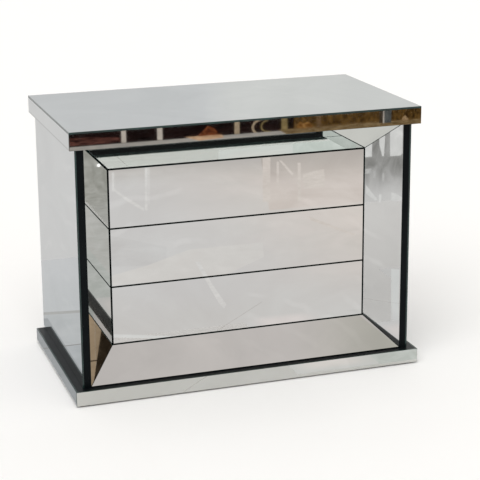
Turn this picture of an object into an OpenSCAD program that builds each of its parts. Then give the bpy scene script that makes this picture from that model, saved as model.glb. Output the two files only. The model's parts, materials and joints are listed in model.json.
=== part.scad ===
// Mirror-clad nightstand with three push-to-open drawers set in a splayed recess.
// Millimetres. X is the width, Y runs from front to back, Z is up.
// The origin is on the floor, under the middle of the outer box.

/* [Body] */
// Height from the floor to the face of the top glass
overall_h = 600; // [560:5:760]
// Width over the two side mirrors
body_w = 760; // [640:5:1000]
// Depth from the front edges of the side panels to the back
body_d = 414; // [360:2:520]
// Thickness of the side panels, base panel, subtop and uprights
board_t = 15; // [12:1:22]
// Thickness of the back panel
back_t = 6; // [3:0.5:9]
// Width of the step in each side panel that holds the back panel
back_rebate = 7.5; // [5:0.5:10]

/* [Glass] */
// Thickness of every mirror pane
glass_t = 4; // [3:0.5:6]

/* [Top slab] */
// Thickness of the board under the top glass
top_board_t = 35; // [25:1:50]
// Overhang of the slab past the body at each side
top_overhang_side = 14; // [8:1:30]
// Overhang of the slab past the body at the front
top_overhang_front = 19; // [8:1:30]

/* [Plinth] */
// Height of the black ledge above the floor
plinth_h = 35; // [28:1:60]
// Ledge that shows at each side of the body
ledge_side = 18; // [12:1:30]
// Ledge that shows in front of the body
ledge_front = 20; // [12:1:30]
// Thickness of the deck board
deck_t = 12; // [9:1:15]
// Thickness of the rails under the deck
rail_t = 15; // [12:1:20]
// Diameter of a foot glide
glide_d = 15; // [12:1:18]
// Height of a foot glide under the rails
glide_h = 3; // [2:0.5:5]
// Diameter of a glide's nail
glide_nail_d = 2.4; // [1.6:0.2:3]
// Length of a glide's nail
glide_nail_l = 11; // [8:1:12]
// Distance from a glide's centre to the end of its rail
glide_inset = 22; // [16:1:60]

/* [Splayed recess] */
// Width of each splayed face seen from the front, and the depth of the recess
splay_w = 64; // [45:1:75]
// Thickness of the backing board of a splayed mirror
backer_t = 12; // [9:1:15]
// Dark gap between the plinth and the bottom splayed mirror
shadow_gap = 2; // [1:0.5:5]
// Gap between two panes at a mitre
mitre_gap = 0.8; // [0.4:0.1:2]

/* [Drawers] */
// Gap round and between the drawer fronts
drawer_gap = 3; // [2:0.5:4]
// Thickness of a drawer's front board
front_board_t = 15; // [12:1:18]
// Thickness of a drawer's sides and back
drawer_wall_t = 12; // [10:1:15]
// Thickness of a drawer's bottom
drawer_bottom_t = 5; // [3:0.5:8]
// Depth of the groove that holds the bottom
groove_d = 6; // [4:0.5:8]
// Height of the groove above the lower edge of a side
groove_up = 10; // [8:1:16]
// Distance from a front's lower edge to the lower edge of the sides
side_raise = 14; // [8:1:20]
// Distance from the top of the sides to a front's upper edge
side_drop = 16; // [10:1:24]
// Space between the drawers and the back panel
rear_space = 20; // [10:1:40]

/* [Slides] */
// Height of a slide
slide_h = 45; // [35:1:53]
// Thickness of a slide, from upright to drawer
slide_t = 12.7; // [12:0.1:14]
// Thickness of the slide's steel
slide_steel = 1.2; // [1:0.1:1.5]
// Running clearance between the slide's members
slide_run = 0.5; // [0.3:0.1:0.8]
// Distance from the back of a drawer's front board to the slide
slide_setback = 4; // [3:0.5:8]
// Distance from the back of a slide to the back of the drawer
slide_rear_inset = 1; // [0:0.5:10]

/* [Push latches] */
// Width of a latch housing, from the upright inwards
latch_w = 10; // [9:0.5:11]
// Height of a latch housing
latch_h = 14; // [12:1:18]
// Length of a latch housing
latch_l = 60; // [45:1:80]
// Gap between a slide and the housing above it
latch_lift = 2.5; // [1:0.5:6]
// Diameter of a plunger
plunger_d = 7; // [5:0.5:8]
// Length of a plunger inside its housing
plunger_l = 48; // [36:1:50]
// Diameter of a plunger's bumper
bumper_d = 8.8; // [7:0.2:10]
// Radial clearance of a plunger in its housing
plunger_run = 0.1; // [0.05:0.01:0.1]
// Space behind a plunger in its housing
plunger_spare = 1; // [0.5:0.5:2]
// Gap between a bumper and its housing
bumper_run = 0.5; // [0.3:0.1:1]

/* [Screws] */
// Diameter of a screw's shank
screw_d = 3; // [2.5:0.1:4]
// Diameter of a screw's countersunk head
screw_head_d = 6; // [5:0.5:7]
// Height of a screw's countersunk head
screw_head_h = 1.8; // [1:0.1:2.5]
// Length of a screw
screw_l = 24; // [20:1:26]
// Distance from a corner of the body to the nearest screw
screw_inset = 60; // [40:5:100]
// Clearance round a screw in its hole
screw_fit = 0.05; // [0.02:0.01:0.1]

/* [Hidden] */

black_lacquer = [0.09, 0.10, 0.11];
bare_board = [0.66, 0.52, 0.38];
drawer_ply = [0.80, 0.70, 0.55];
mirror_grey = [0.77, 0.80, 0.80];
zinc = [0.72, 0.73, 0.75];
latch_grey = [0.35, 0.36, 0.38];

drawer_count = 3;
drawers = [1 : drawer_count];
ends = [-1, 1];
diagonal = sqrt(2);
cut = 1;
$fn = 48;

// Widths and depths, all from the body
top_w = body_w + 2 * top_overhang_side;
top_d = body_d + top_overhang_front;
plinth_w = body_w + 2 * ledge_side;
plinth_d = body_d + ledge_front;
back_y = max(top_d, plinth_d) / 2;
body_front_y = back_y - body_d;
top_front_y = back_y - top_d;
plinth_front_y = back_y - plinth_d;
side_out_x = body_w / 2 - glass_t;
side_in_x = side_out_x - board_t;
panel_back_y = back_y - back_t;

// Heights
slab_z = overall_h - glass_t - top_board_t;
deck_z = plinth_h - deck_t;
base_top_z = plinth_h + board_t;
subtop_z = slab_z - board_t;

// The recess: its faces lie at 45 degrees, so a width across is also a depth
splay_low_z = plinth_h + shadow_gap;
splay_high_z = slab_z;
opening_x = side_in_x - splay_w;
opening_low_z = splay_low_z + splay_w;
opening_high_z = splay_high_z - splay_w;
glass_run = glass_t * diagonal;
backer_run = glass_run + backer_t * diagonal;
mitre_trim = mitre_gap / 2 * diagonal;

// Drawers, counted from the top
drawer_face_y = body_front_y + splay_w;
board_face_y = drawer_face_y + glass_t;
box_front_y = board_face_y + front_board_t;
box_back_y = panel_back_y - rear_space;
front_x = opening_x - drawer_gap;
front_h = (opening_high_z - opening_low_z - (drawer_count + 1) * drawer_gap) / drawer_count;
box_x = opening_x - slide_t;
box_in_x = box_x - drawer_wall_t;
function front_low_z(n) = opening_high_z - n * (front_h + drawer_gap);
function box_low_z(n) = front_low_z(n) + side_raise;
function box_high_z(n) = front_low_z(n) + front_h - side_drop;
function bottom_low_z(n) = box_low_z(n) + groove_up;
function bottom_high_z(n) = bottom_low_z(n) + drawer_bottom_t;

// Slides and latches
slide_front_y = box_front_y + slide_setback;
slide_back_y = box_back_y - slide_rear_inset;
function slide_mid_z(n) = (box_low_z(n) + box_high_z(n)) / 2;
middle_half_h = slide_h / 2 - slide_steel - slide_run;
inner_half_h = middle_half_h - slide_steel - slide_run;
middle_web = slide_steel + slide_run;
inner_reach = middle_web + slide_steel + slide_run;
latch_mid_x = opening_x - latch_w / 2;
latch_front_y = slide_front_y;
function latch_mid_z(n) = slide_mid_z(n) + slide_h / 2 + latch_lift + latch_h / 2;

// Screws: four up each side of the back panel, and rows of three across the level boards
side_screws = [0 : 3];
side_screw_x = side_in_x + back_rebate / 2;
side_screw_low_z = plinth_h + screw_inset;
side_screw_step = (slab_z - plinth_h - 2 * screw_inset) / 3;
across = [-1, 0, 1];
screw_span_x = side_in_x - screw_inset;
case_screw_front_y = body_front_y + splay_w + screw_inset;
case_screw_back_y = panel_back_y - screw_inset;

// A square-edged board between two corners
module board(low, high) {
    translate(low)
        cube(high - low);
}

// Shapes are drawn for the right side: this keeps one there or mirrors it to the left
module on_side(side) {
    if (side > 0)
        children();
    else
        mirror([1, 0, 0])
            children();
}

module both_sides() {
    for (side = ends)
        on_side(side)
            children();
}

// A shape drawn on the front view, run through the whole depth
module through_depth() {
    translate([0, back_y, 0])
        rotate([90, 0, 0])
            linear_extrude(plinth_d)
                children();
}

// A shape drawn on the side view as [y, z], run along X
module along_width(half) {
    translate([-half, 0, 0])
        rotate([90, 0, 90])
            linear_extrude(2 * half)
                children();
}

// The splayed boards: from_run and to_run are depths behind the mirrored face
module splay_side(from_run, to_run) {
    intersection() {
        translate([0, 0, splay_low_z])
            linear_extrude(splay_high_z - splay_low_z)
                polygon([
                    [side_in_x, body_front_y + from_run],
                    [opening_x, drawer_face_y + from_run],
                    [opening_x, drawer_face_y + to_run],
                    [side_in_x, body_front_y + to_run]
                ]);
        through_depth()
            polygon([
                [side_in_x, splay_low_z + mitre_trim],
                [opening_x, opening_low_z + mitre_trim],
                [opening_x, opening_high_z - mitre_trim],
                [side_in_x, splay_high_z - mitre_trim]
            ]);
    }
}

module splay_level(outer_z, inner_z, from_run, to_run) {
    intersection() {
        along_width(side_in_x)
            polygon([
                [body_front_y + from_run, outer_z],
                [drawer_face_y + from_run, inner_z],
                [drawer_face_y + to_run, inner_z],
                [body_front_y + to_run, outer_z]
            ]);
        through_depth()
            polygon([
                [-side_in_x + mitre_trim, outer_z],
                [-opening_x + mitre_trim, inner_z],
                [opening_x - mitre_trim, inner_z],
                [side_in_x - mitre_trim, outer_z]
            ]);
    }
}

// A countersunk screw that points down, with its head's face on the XY plane
module screw() {
    rotate_extrude()
        polygon([
            [0, 0],
            [screw_head_d / 2, 0],
            [screw_d / 2, -screw_head_h],
            [screw_d / 2, -screw_l],
            [0, -screw_l]
        ]);
}

// The hole that it goes in, open above the head
module screw_hole() {
    rotate_extrude()
        polygon([
            [0, cut],
            [screw_head_d / 2 + screw_fit, cut],
            [screw_head_d / 2 + screw_fit, 0],
            [screw_d / 2 + screw_fit, -screw_head_h],
            [screw_d / 2 + screw_fit, -screw_l - screw_fit],
            [0, -screw_l - screw_fit]
        ]);
}

// Puts a screw or a hole in the place of every screw
module at_screws() {
    for (side = ends, step = side_screws)
        translate([side * side_screw_x, back_y, side_screw_low_z + step * side_screw_step])
            rotate([-90, 0, 0])
                children();
    for (column = across, z = [plinth_h + board_t / 2, slab_z - board_t / 2])
        translate([column * screw_span_x, back_y, z])
            rotate([-90, 0, 0])
                children();
    for (column = across, y = [case_screw_front_y, case_screw_back_y]) {
        translate([column * screw_span_x, y, base_top_z])
            children();
        translate([column * screw_span_x, y, subtop_z])
            rotate([180, 0, 0])
                children();
    }
}

// Plinth
module plinth_deck() {
    color(black_lacquer)
        difference() {
            board(
                [-plinth_w / 2 + glass_t, plinth_front_y + glass_t, deck_z],
                [plinth_w / 2 - glass_t, back_y, plinth_h]
            );
            at_screws()
                screw_hole();
        }
}

module glide_places() {
    for (side = ends, y = [plinth_front_y + glass_t + rail_t / 2, back_y - rail_t / 2])
        translate([side * (plinth_w / 2 - glass_t - glide_inset), y, 0])
            children();
}

module glide_nail(extra) {
    cylinder(d = glide_nail_d + 2 * extra, h = glide_h + glide_nail_l + extra);
}

module cross_rail(low_y) {
    color(bare_board)
        difference() {
            board(
                [-plinth_w / 2 + glass_t, low_y, glide_h],
                [plinth_w / 2 - glass_t, low_y + rail_t, deck_z]
            );
            glide_places()
                glide_nail(screw_fit);
        }
}

module plinth_front_rail() {
    cross_rail(plinth_front_y + glass_t);
}

module plinth_back_rail() {
    cross_rail(back_y - rail_t);
}

module plinth_side_rails() {
    color(bare_board)
        both_sides()
            board(
                [plinth_w / 2 - glass_t - rail_t, plinth_front_y + glass_t + rail_t, glide_h],
                [plinth_w / 2 - glass_t, back_y - rail_t, deck_z]
            );
}

module plinth_front_mirror() {
    color(mirror_grey)
        board(
            [-plinth_w / 2, plinth_front_y, glide_h],
            [plinth_w / 2, plinth_front_y + glass_t, plinth_h]
        );
}

module plinth_side_mirror(side) {
    color(mirror_grey)
        on_side(side)
            board(
                [plinth_w / 2 - glass_t, plinth_front_y + glass_t, glide_h],
                [plinth_w / 2, back_y, plinth_h]
            );
}

module foot_glides() {
    color(latch_grey)
        glide_places() {
            cylinder(d = glide_d, h = glide_h);
            glide_nail(0);
        }
}

// Carcass
module base_panel() {
    color(bare_board)
        difference() {
            along_width(side_in_x)
                polygon([
                    [body_front_y + backer_run + plinth_h - splay_low_z, plinth_h],
                    [body_front_y + backer_run + base_top_z - splay_low_z, base_top_z],
                    [panel_back_y, base_top_z],
                    [panel_back_y, plinth_h]
                ]);
            at_screws()
                screw_hole();
        }
}

module subtop_panel() {
    color(bare_board)
        difference() {
            along_width(side_in_x)
                polygon([
                    [body_front_y + backer_run, slab_z],
                    [body_front_y + backer_run + board_t, subtop_z],
                    [panel_back_y, subtop_z],
                    [panel_back_y, slab_z]
                ]);
            at_screws()
                screw_hole();
        }
}

module side_panel(side) {
    color(black_lacquer)
        difference() {
            on_side(side)
                difference() {
                    board([side_in_x, body_front_y, plinth_h], [side_out_x, back_y, slab_z]);
                    board(
                        [side_in_x - cut, panel_back_y, plinth_h - cut],
                        [side_in_x + back_rebate, back_y + cut, slab_z + cut]
                    );
                }
            at_screws()
                screw_hole();
        }
}

module upright(side) {
    color(bare_board)
        on_side(side)
            translate([0, 0, base_top_z])
                linear_extrude(subtop_z - base_top_z)
                    polygon([
                        [opening_x, drawer_face_y + backer_run],
                        [opening_x + board_t, drawer_face_y + backer_run - board_t],
                        [opening_x + board_t, panel_back_y],
                        [opening_x, panel_back_y]
                    ]);
}

module back_panel() {
    color(bare_board)
        difference() {
            board(
                [-side_in_x - back_rebate, panel_back_y, plinth_h],
                [side_in_x + back_rebate, back_y, slab_z]
            );
            at_screws()
                screw_hole();
        }
}

module side_mirror(side) {
    color(mirror_grey)
        on_side(side)
            board([side_out_x, body_front_y, plinth_h], [body_w / 2, back_y, slab_z]);
}

// Top slab
module top_board() {
    color(black_lacquer)
        difference() {
            board(
                [-top_w / 2 + glass_t, top_front_y + glass_t, slab_z],
                [top_w / 2 - glass_t, back_y, slab_z + top_board_t]
            );
            at_screws()
                screw_hole();
        }
}

module top_mirror() {
    color(mirror_grey)
        board([-top_w / 2, top_front_y, overall_h - glass_t], [top_w / 2, back_y, overall_h]);
}

module top_front_mirror() {
    color(mirror_grey)
        board(
            [-top_w / 2, top_front_y, slab_z],
            [top_w / 2, top_front_y + glass_t, overall_h - glass_t]
        );
}

module top_side_mirror(side) {
    color(mirror_grey)
        on_side(side)
            board(
                [top_w / 2 - glass_t, top_front_y + glass_t, slab_z],
                [top_w / 2, back_y, overall_h - glass_t]
            );
}

// Drawers
module drawer_mirror(n) {
    color(mirror_grey)
        board(
            [-front_x, drawer_face_y, front_low_z(n)],
            [front_x, board_face_y, front_low_z(n) + front_h]
        );
}

module drawer_front_board(n) {
    color(black_lacquer)
        difference() {
            board(
                [-front_x, board_face_y, front_low_z(n)],
                [front_x, box_front_y, front_low_z(n) + front_h]
            );
            board(
                [-box_in_x - groove_d, box_front_y - groove_d, bottom_low_z(n)],
                [box_in_x + groove_d, box_front_y + cut, bottom_high_z(n)]
            );
        }
}

module drawer_side(n, side) {
    color(drawer_ply)
        on_side(side)
            difference() {
                board([box_in_x, box_front_y, box_low_z(n)], [box_x, box_back_y, box_high_z(n)]);
                board(
                    [box_in_x - cut, box_front_y - cut, bottom_low_z(n)],
                    [box_in_x + groove_d, box_back_y + cut, bottom_high_z(n)]
                );
            }
}

module drawer_back(n) {
    color(drawer_ply)
        board(
            [-box_in_x, box_back_y - drawer_wall_t, bottom_high_z(n)],
            [box_in_x, box_back_y, box_high_z(n)]
        );
}

module drawer_bottom(n) {
    color(drawer_ply)
        board(
            [-box_in_x - groove_d, box_front_y - groove_d, bottom_low_z(n)],
            [box_in_x + groove_d, box_back_y, bottom_high_z(n)]
        );
}

// One slide member: a channel whose web is at web_x, measured from the upright
module slide_channel(n, web_x, far_x, half_h) {
    x_of_web = opening_x - web_x;
    x_of_far = opening_x - far_x;
    x_of_step = x_of_web + sign(x_of_far - x_of_web) * slide_steel;
    translate([0, slide_back_y, slide_mid_z(n)])
        rotate([90, 0, 0])
            linear_extrude(slide_back_y - slide_front_y)
                polygon([
                    [x_of_web, -half_h],
                    [x_of_far, -half_h],
                    [x_of_far, -half_h + slide_steel],
                    [x_of_step, -half_h + slide_steel],
                    [x_of_step, half_h - slide_steel],
                    [x_of_far, half_h - slide_steel],
                    [x_of_far, half_h],
                    [x_of_web, half_h]
                ]);
}

module slide_cabinet_members() {
    color(zinc)
        both_sides()
            for (n = drawers)
                slide_channel(n, 0, slide_t - slide_steel - slide_run, slide_h / 2);
}

module slide_middle_members(n) {
    color(zinc)
        both_sides()
            slide_channel(n, middle_web, slide_t - slide_steel - slide_run, middle_half_h);
}

module drawer_slide_members(n) {
    color(zinc)
        both_sides()
            slide_channel(n, slide_t, inner_reach, inner_half_h);
}

// Push latches
module latch_housings() {
    color(latch_grey)
        both_sides()
            for (n = drawers)
                difference() {
                    translate([opening_x - latch_w, latch_front_y, latch_mid_z(n) - latch_h / 2])
                        cube([latch_w, latch_l, latch_h]);
                    translate([latch_mid_x, latch_front_y - cut, latch_mid_z(n)])
                        rotate([-90, 0, 0])
                            cylinder(
                                d = plunger_d + 2 * plunger_run,
                                h = cut + plunger_l + plunger_spare
                            );
                }
}

module latch_plungers(n) {
    color(zinc)
        both_sides()
            translate([latch_mid_x, box_front_y, latch_mid_z(n)])
                rotate([-90, 0, 0]) {
                    cylinder(d = bumper_d, h = slide_setback - bumper_run);
                    cylinder(d = plunger_d, h = slide_setback + plunger_l);
                }
}

module screws() {
    color(zinc)
        at_screws()
            screw();
}

plinth_deck();
plinth_front_rail();
plinth_back_rail();
plinth_side_rails();
plinth_front_mirror();
plinth_side_mirror(-1);  // plinth_left_mirror
plinth_side_mirror(1);  // plinth_right_mirror
foot_glides();
base_panel();
subtop_panel();
side_panel(-1);  // left_side_panel
side_panel(1);  // right_side_panel
upright(-1);  // left_upright
upright(1);  // right_upright
back_panel();
side_mirror(-1);  // left_side_mirror
side_mirror(1);  // right_side_mirror
color(black_lacquer) splay_level(splay_high_z, opening_high_z, glass_run, backer_run);  // splay_top_backer
color(black_lacquer) splay_level(splay_low_z, opening_low_z, glass_run, backer_run);  // splay_bottom_backer
color(black_lacquer) on_side(-1) splay_side(glass_run, backer_run);  // splay_left_backer
color(black_lacquer) splay_side(glass_run, backer_run);  // splay_right_backer
color(mirror_grey) splay_level(splay_high_z, opening_high_z, 0, glass_run);  // splay_top_mirror
color(mirror_grey) splay_level(splay_low_z, opening_low_z, 0, glass_run);  // splay_bottom_mirror
color(mirror_grey) on_side(-1) splay_side(0, glass_run);  // splay_left_mirror
color(mirror_grey) splay_side(0, glass_run);  // splay_right_mirror
top_board();
top_mirror();
top_front_mirror();
top_side_mirror(-1);  // top_left_mirror
top_side_mirror(1);  // top_right_mirror
slide_cabinet_members();
latch_housings();
screws();
for (n = drawers) {
    drawer_mirror(n);
    drawer_front_board(n);
    drawer_side(n, -1);
    drawer_side(n, 1);
    drawer_back(n);
    drawer_bottom(n);
    drawer_slide_members(n);
    slide_middle_members(n);
    latch_plungers(n);
}
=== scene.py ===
import json
import math

import bmesh
import bpy
from mathutils import Matrix, Vector

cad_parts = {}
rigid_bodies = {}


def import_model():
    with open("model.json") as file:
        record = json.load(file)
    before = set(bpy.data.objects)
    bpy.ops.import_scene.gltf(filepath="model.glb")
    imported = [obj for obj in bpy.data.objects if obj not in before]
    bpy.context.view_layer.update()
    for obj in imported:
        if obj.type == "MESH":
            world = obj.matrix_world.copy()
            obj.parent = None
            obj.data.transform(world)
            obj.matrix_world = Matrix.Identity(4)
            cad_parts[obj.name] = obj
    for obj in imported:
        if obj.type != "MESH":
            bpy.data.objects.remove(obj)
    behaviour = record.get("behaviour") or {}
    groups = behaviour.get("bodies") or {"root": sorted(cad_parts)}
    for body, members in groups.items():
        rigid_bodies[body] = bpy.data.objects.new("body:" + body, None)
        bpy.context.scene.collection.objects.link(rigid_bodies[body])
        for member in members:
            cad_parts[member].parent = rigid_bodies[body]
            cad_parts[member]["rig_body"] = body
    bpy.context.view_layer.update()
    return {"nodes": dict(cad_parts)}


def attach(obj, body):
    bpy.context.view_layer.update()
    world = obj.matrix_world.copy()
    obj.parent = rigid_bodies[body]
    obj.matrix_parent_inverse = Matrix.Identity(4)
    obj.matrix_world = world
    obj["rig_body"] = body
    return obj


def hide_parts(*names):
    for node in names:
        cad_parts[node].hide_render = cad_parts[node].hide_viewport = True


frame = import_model()
nodes = frame["nodes"]
print("frame loaded:", len(nodes), "nodes")


def placeObject(name, data):
    obj = bpy.data.objects.new(name, data)
    bpy.context.scene.collection.objects.link(obj)
    return obj


def closeMesh(bm, name):
    mesh = bpy.data.meshes.new(name)
    bm.to_mesh(mesh)
    bm.free()
    return mesh


# Small helpers for the node trees

def addNode(tree, kind, inputs=None, **settings):
    node = tree.nodes.new(kind)
    for name, value in settings.items():
        setattr(node, name, value)
    for name, value in (inputs or {}).items():
        node.inputs[name].default_value = value
    return node


def joinNodes(tree, source, output, target, socket):
    tree.links.new(source.outputs[output], target.inputs[socket])


def startMaterial(name, shaderInputs=None):
    material = bpy.data.materials.new(name)
    material.use_nodes = True
    tree = material.node_tree
    tree.nodes.clear()
    end = addNode(tree, "ShaderNodeOutputMaterial")
    shader = addNode(tree, "ShaderNodeBsdfPrincipled", shaderInputs)
    joinNodes(tree, shader, "BSDF", end, "Surface")
    return material, tree, shader


def placedNoise(tree, stretch, place="Object", detail=3.0, roughness=0.5, distortion=0.0):
    coordinates = addNode(tree, "ShaderNodeTexCoord")
    mapping = addNode(tree, "ShaderNodeMapping", {"Scale": stretch})
    noise = addNode(
        tree,
        "ShaderNodeTexNoise",
        {"Scale": 1.0, "Detail": detail, "Roughness": roughness, "Distortion": distortion},
    )
    joinNodes(tree, coordinates, place, mapping, "Vector")
    joinNodes(tree, mapping, "Vector", noise, "Vector")
    return noise


def splitPlace(tree, place="Object"):
    # A point's X, Y and Z
    coordinates = addNode(tree, "ShaderNodeTexCoord")
    split = addNode(tree, "ShaderNodeSeparateXYZ")
    joinNodes(tree, coordinates, place, split, "Vector")
    return split


def ramp(tree, source, output, start, end, low=0, high=1, **settings):
    # Runs from low to high while the source runs from start to end
    node = addNode(
        tree,
        "ShaderNodeMapRange",
        {"From Min": start, "From Max": end, "To Min": low, "To Max": high},
        **settings,
    )
    joinNodes(tree, source, output, node, "Value")
    return node


def spread(tree, noise, low=0, high=1, fromLow=0.3, fromHigh=0.7):
    # Maps a noise onto the range low to high
    return ramp(tree, noise, "Fac", fromLow, fromHigh, low, high)


def mixColours(tree, first=None, second=None, blend="MIX"):
    # A colour that is left out here is joined later
    mix = addNode(tree, "ShaderNodeMix", {"Factor": 1.0}, data_type="RGBA", blend_type=blend)
    for socket, colour in (("A", first), ("B", second)):
        if colour:
            mix.inputs[socket].default_value = (*colour, 1)
    return mix


def twoTones(tree, factor, output, dark, light):
    mix = mixColours(tree, dark, light)
    joinNodes(tree, factor, output, mix, "Factor")
    return mix


def multiplyColour(tree, colour, factor, output):
    product = mixColours(tree, blend="MULTIPLY")
    joinNodes(tree, colour, "Result", product, "A")
    joinNodes(tree, factor, output, product, "B")
    return product


def multiplyValues(tree, *sources):
    product = addNode(tree, "ShaderNodeMath", operation="MULTIPLY")
    for socket, source in enumerate(sources):
        joinNodes(tree, source, "Result", product, socket)
    return product


def dressShader(tree, shader, colour, rough):
    joinNodes(tree, colour, "Result", shader, "Base Color")
    joinNodes(tree, rough, "Result", shader, "Roughness")


def addBump(tree, shader, noise, height):
    bump = addNode(tree, "ShaderNodeBump", {"Strength": 1.0, "Distance": height})
    joinNodes(tree, noise, "Fac", bump, "Height")
    joinNodes(tree, bump, "Normal", shader, "Normal")


def makeCoat(name, look):
    # Two tones in clouds, and a fine grain, if it has one, for the relief and the sheen
    material, tree, shader = startMaterial(name, look.get("shader"))
    cloud = placedNoise(tree, **look["cloud"])
    grain = placedNoise(tree, **look["grain"]) if "grain" in look else cloud
    colour = twoTones(tree, spread(tree, cloud), "Result", look["dark"], look["light"])
    sheen = cloud if look.get("cloudySheen") else grain
    dressShader(tree, shader, colour, spread(tree, sheen, *look["roughness"]))
    addBump(tree, shader, grain, look["relief"])
    return material


# Mirror glass: silvered face, ground edge, painted back

mirrorGlass = {
    # duller and clearer tone of the silvering, how far it keeps them at a grazing angle,
    # and for a pane with a painted shade line along its lower rim the rim's share of the height and
    # its shade;
    # the tones are set pane by pane and carry painted light and shade: lit and shaded copies of one
    # silvering
    "faces": {
        "general": ((0.590, 0.592, 0.575), (0.640, 0.642, 0.625), 0.80),
        "level": ((0.622, 0.634, 0.640), (0.708, 0.718, 0.722), 0.80),
        "sides": ((0.526, 0.546, 0.562), (0.584, 0.604, 0.620), 0.80),
        "slabSides": ((0.526, 0.546, 0.562), (0.584, 0.604, 0.620), 0.80, (0.135, 0.50)),
        "plinthSides": ((0.485, 0.503, 0.518), (0.538, 0.556, 0.572), 0.80),
        "leftSplay": ((0.625, 0.628, 0.612), (0.680, 0.683, 0.665), 1.00),
        "rightSplay": ((0.525, 0.525, 0.522), (0.575, 0.575, 0.572), 1.00),
        "drawers": ((0.572, 0.558, 0.550), (0.630, 0.628, 0.620), 1.00),
        "lowerSplay": ((0.640, 0.636, 0.634), (0.724, 0.716, 0.711), 0.80),
        "upperSplay": ((0.835, 0.888, 0.850), (0.885, 0.936, 0.902), 1.00),
        "plinth": ((0.560, 0.562, 0.538), (0.606, 0.608, 0.588), 0.80),
    },
    "film": {"stretch": (4, 4, 6), "detail": 4, "roughness": 0.6, "distortion": 0.8},
    "roughness": (0.010, 0.026),
    # where the cloth went round, its rings, the part of a ring that shows, and how pale it is
    "wipePlace": {"Location": (0.21, 0.13, 0.37), "Rotation": (0.5, 0.3, 0.8)},
    "wipeRings": {
        "Scale": 5.5, "Distortion": 5.0, "Detail": 3.0,
        "Detail Scale": 0.9, "Detail Roughness": 0.6,
    },
    "wipeShare": (0.80, 1.0),
    "wipeMarks": 0.085,
    "patches": {"stretch": (6, 6, 6), "detail": 3, "roughness": 0.6, "distortion": 0.6},
    "patchShare": (0.48, 0.62),
    "arris": 0.0004,
    "squarely": 0.99,  # cosine from which a face counts as the front or the back
    "edge": {
        "dark": (0.004, 0.013, 0.012),
        "light": (0.014, 0.040, 0.036),
        "cloud": {"stretch": (30, 30, 30)},
        "grain": {"stretch": (900, 900, 900), "detail": 2},
        "roughness": (0.16, 0.34),
        "relief": 0.00004,
        "shader": {"IOR": 1.52},
    },
    "paint": {
        "dark": (0.16, 0.165, 0.165),
        "light": (0.22, 0.225, 0.22),
        "cloud": {"stretch": (240, 240, 240), "detail": 4, "roughness": 0.7},
        "roughness": (0.5, 0.7),
        "relief": 0.00005,
    },
}


def shadeLowerRim(tree, colour, share, shade):
    # Painted shade: darkens a line along a pane's lower rim
    height = ramp(
        tree, splitPlace(tree, "Generated"), "Z", 0, share, shade, interpolation_type="SMOOTHSTEP"
    )
    return multiplyColour(tree, colour, height, "Result")


def makeMirrorFace(name, dulled, clear, grazing, shadedRim=None):
    # A thin uneven film dulls the silvering, and a cloth has left paler arcs in it
    look = mirrorGlass
    material, tree, shader = startMaterial(
        name, {"Metallic": 1.0, "Specular Tint": (grazing, grazing, grazing, 1)}
    )
    film = placedNoise(tree, **look["film"])
    # the two tones come pane by pane and carry painted light and shade
    colour = twoTones(tree, spread(tree, film), "Result", dulled, clear)
    place = addNode(tree, "ShaderNodeTexCoord")
    turned = addNode(tree, "ShaderNodeMapping", look["wipePlace"])
    arcs = addNode(
        tree,
        "ShaderNodeTexWave",
        look["wipeRings"],
        wave_type="RINGS",
        rings_direction="SPHERICAL",
    )
    joinNodes(tree, place, "Object", turned, "Vector")
    joinNodes(tree, turned, "Vector", arcs, "Vector")
    streaks = spread(tree, arcs, 0, look["wipeMarks"], *look["wipeShare"])
    patches = placedNoise(tree, **look["patches"])
    marks = multiplyValues(tree, streaks, spread(tree, patches, 0, 1, *look["patchShare"]))
    paler = mixColours(tree, second=(1, 1, 1))
    joinNodes(tree, marks, "Value", paler, "Factor")
    joinNodes(tree, colour, "Result", paler, "A")
    # a line of painted shade along the lower rim, for the panes that have one
    if shadedRim:
        paler = shadeLowerRim(tree, paler, *shadedRim)
    dressShader(tree, shader, paler, spread(tree, film, *look["roughness"]))
    return material


mirrorFaces = {
    kind: makeMirrorFace("silvered_glass_" + kind, *look)
    for kind, look in mirrorGlass["faces"].items()
}
groundEdge = makeCoat("ground_glass_edge", mirrorGlass["edge"])
backingPaint = makeCoat("mirror_back_paint", mirrorGlass["paint"])

slant = math.sqrt(0.5)
panes = {
    # the silvering tone of each pane's face, set pane by pane with painted light and shade, and
    # where it looks
    "plinth_front_mirror": ("plinth", (0, -1, 0)),
    "plinth_left_mirror": ("plinthSides", (-1, 0, 0)),
    "plinth_right_mirror": ("plinthSides", (1, 0, 0)),
    "left_side_mirror": ("sides", (-1, 0, 0)),
    "right_side_mirror": ("sides", (1, 0, 0)),
    "splay_top_mirror": ("upperSplay", (0, -slant, -slant)),
    "splay_bottom_mirror": ("lowerSplay", (0, -slant, slant)),
    "splay_left_mirror": ("leftSplay", (slant, -slant, 0)),
    "splay_right_mirror": ("rightSplay", (-slant, -slant, 0)),
    "top_mirror": ("level", (0, 0, 1)),
    "top_front_mirror": ("general", (0, -1, 0)),
    "top_left_mirror": ("slabSides", (-1, 0, 0)),
    "top_right_mirror": ("slabSides", (1, 0, 0)),
    "drawer_1_mirror": ("drawers", (0, -1, 0)),
    "drawer_2_mirror": ("drawers", (0, -1, 0)),
    "drawer_3_mirror": ("drawers", (0, -1, 0)),
}
joining = {"within": 1e-6, "flatWithin": 0.02}  # metres and radians


def weldedCopy(nodeName):
    # The CAD solid's faces again, whole and joined at their corners
    bm = bmesh.new()
    bm.from_mesh(nodes[nodeName].data)
    bmesh.ops.remove_doubles(bm, verts=bm.verts, dist=joining["within"])
    bmesh.ops.dissolve_limit(
        bm, angle_limit=joining["flatWithin"], verts=bm.verts, edges=bm.edges
    )
    return bm


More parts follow.
